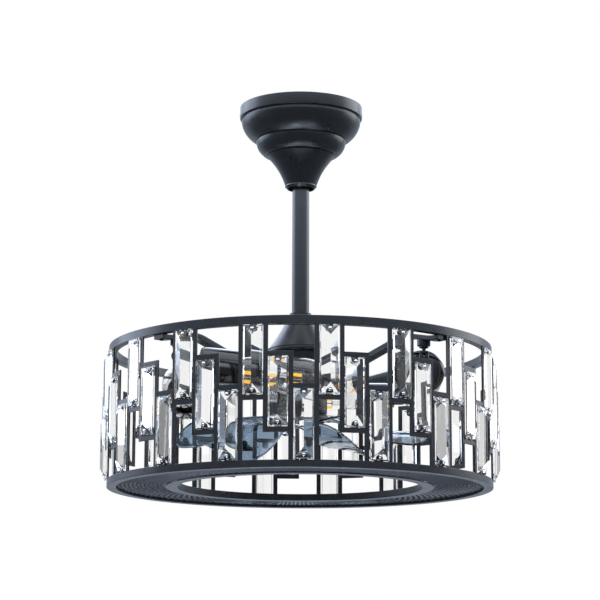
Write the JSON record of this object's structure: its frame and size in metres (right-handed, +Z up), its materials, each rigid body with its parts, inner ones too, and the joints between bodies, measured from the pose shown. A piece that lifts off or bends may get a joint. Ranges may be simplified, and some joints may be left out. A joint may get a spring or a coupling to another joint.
{
  "type": "ceiling fan",
  "caption": "Ceiling fan with lamps in an open drum cage hung with clear cut crystals: the blades spin, the lamps pan and tilt, and the ball hanger sways.",
  "frame": {"origin": "centre of the ceiling bracket's upper face, where it meets the ceiling", "axes": "+Z points up into the ceiling, -Y is the front in the picture, +X is the picture's right"},
  "size_m": [0.5257, 0.5257, 0.52],
  "materials": {
    "black_metal": "satin",
    "cup_gloss": "gloss",
    "zinc_steel": "satin",
    "dark_screws": "satin",
    "pin_chrome": "gloss",
    "nylon": "matte",
    "ball_black": "matte",
    "receiver_plastic": "matte",
    "motor_iron": "satin",
    "copper": "satin",
    "magnet": "matte",
    "crystal": "gloss",
    "blade_acrylic": "gloss",
    "holder_ceramic": "satin",
    "bulb_glass": "gloss",
    "bulb_core": "satin"
  },
  "bodies": {
    "ceiling_mount": {"mounting_bracket": "zinc_steel", "canopy": "black_metal", "canopy_cone": "black_metal", "canopy_screws": "dark_screws", "receiver_box": "receiver_plastic"},
    "sway_ring": {"socket_liner": "nylon"},
    "hanging_frame": {"hanger_ball": "ball_black", "downrod": "black_metal", "rod_pins": "zinc_steel", "rod_coupling": "black_metal", "motor_bell": "black_metal", "motor_housing": "black_metal", "motor_base_cap": "black_metal", "motor_bearings": "zinc_steel", "stator_core": "motor_iron", "stator_windings": "copper", "arm_collar": "black_metal", "arms": "black_metal", "arm_screws": "dark_screws", "top_ring": "black_metal", "bottom_ring": "black_metal", "cage_bars": "black_metal", "cage_crossbars": "black_metal", "crystals_top": "crystal", "crystals_middle": "crystal", "crystals_low": "crystal", "crystal_pins": "pin_chrome", "bottom_net": "black_metal", "inner_rim": "black_metal"},
    "rotor": {"motor_shaft": "zinc_steel", "rotor_core": "motor_iron", "rotor_magnets": "magnet", "blade_hub": "black_metal", "hub_cap": "black_metal", "blade_screws": "dark_screws", "blade_1": "blade_acrylic", "blade_2": "blade_acrylic", "blade_3": "blade_acrylic", "blade_4": "blade_acrylic", "blade_5": "blade_acrylic"},
    "lamp_swivel_1": {"swivel_1": "black_metal"},
    "lamp_1": {"lamp_cup_1": "cup_gloss", "lamp_holder_1": "holder_ceramic", "bulb_glass_1": "bulb_glass", "bulb_core_1": "bulb_core"},
    "lamp_swivel_2": {"swivel_2": "black_metal"},
    "lamp_2": {"lamp_cup_2": "cup_gloss", "lamp_holder_2": "holder_ceramic", "bulb_glass_2": "bulb_glass", "bulb_core_2": "bulb_core"},
    "lamp_swivel_3": {"swivel_3": "black_metal"},
    "lamp_3": {"lamp_cup_3": "cup_gloss", "lamp_holder_3": "holder_ceramic", "bulb_glass_3": "bulb_glass", "bulb_core_3": "bulb_core"},
    "lamp_swivel_4": {"swivel_4": "black_metal"},
    "lamp_4": {"lamp_cup_4": "cup_gloss", "lamp_holder_4": "holder_ceramic", "bulb_glass_4": "bulb_glass", "bulb_core_4": "bulb_core"}
  },
  "joints": [
    {"name": "sway_front_back", "type": "hinge", "parent": "ceiling_mount", "child": "sway_ring", "pos_m": [0, 0, -0.05], "axis": [1, 0, 0], "range_deg": [-3, 3]},
    {"name": "sway_side", "type": "hinge", "parent": "sway_ring", "child": "hanging_frame", "pos_m": [0, 0, -0.05], "axis": [0, 1, 0], "range_deg": [-3, 3]},
    {"name": "fan_spin", "type": "hinge", "parent": "hanging_frame", "child": "rotor", "pos_m": [0, 0, -0.428], "axis": [0, 0, 1], "continuous": true},
    {"name": "lamp_1_pan", "type": "hinge", "parent": "hanging_frame", "child": "lamp_swivel_1", "pos_m": [-0.15556, -0.15556, -0.3692], "axis": [0, 0, 1], "range_deg": [-15, 12]},
    {"name": "lamp_1_tilt", "type": "hinge", "parent": "lamp_swivel_1", "child": "lamp_1", "pos_m": [-0.15556, -0.15556, -0.3692], "axis": [0, 1, 0], "range_deg": [-14, 2]},
    {"name": "lamp_2_pan", "type": "hinge", "parent": "hanging_frame", "child": "lamp_swivel_2", "pos_m": [0.15556, -0.15556, -0.3692], "axis": [0, 0, 1], "range_deg": [-15, 12]},
    {"name": "lamp_2_tilt", "type": "hinge", "parent": "lamp_swivel_2", "child": "lamp_2", "pos_m": [0.15556, -0.15556, -0.3692], "axis": [-1, 0, 0], "range_deg": [-8, 8]},
    {"name": "lamp_3_pan", "type": "hinge", "parent": "hanging_frame", "child": "lamp_swivel_3", "pos_m": [0.15556, 0.15556, -0.3692], "axis": [0, 0, 1], "range_deg": [-15, 12]},
    {"name": "lamp_3_tilt", "type": "hinge", "parent": "lamp_swivel_3", "child": "lamp_3", "pos_m": [0.15556, 0.15556, -0.3692], "axis": [0, -1, 0], "range_deg": [-8, 8]},
    {"name": "lamp_4_pan", "type": "hinge", "parent": "hanging_frame", "child": "lamp_swivel_4", "pos_m": [-0.15556, 0.15556, -0.3692], "axis": [0, 0, 1], "range_deg": [-15, 12]},
    {"name": "lamp_4_tilt", "type": "hinge", "parent": "lamp_swivel_4", "child": "lamp_4", "pos_m": [-0.15556, 0.15556, -0.3692], "axis": [1, 0, 0], "range_deg": [-8, 8]}
  ]
}
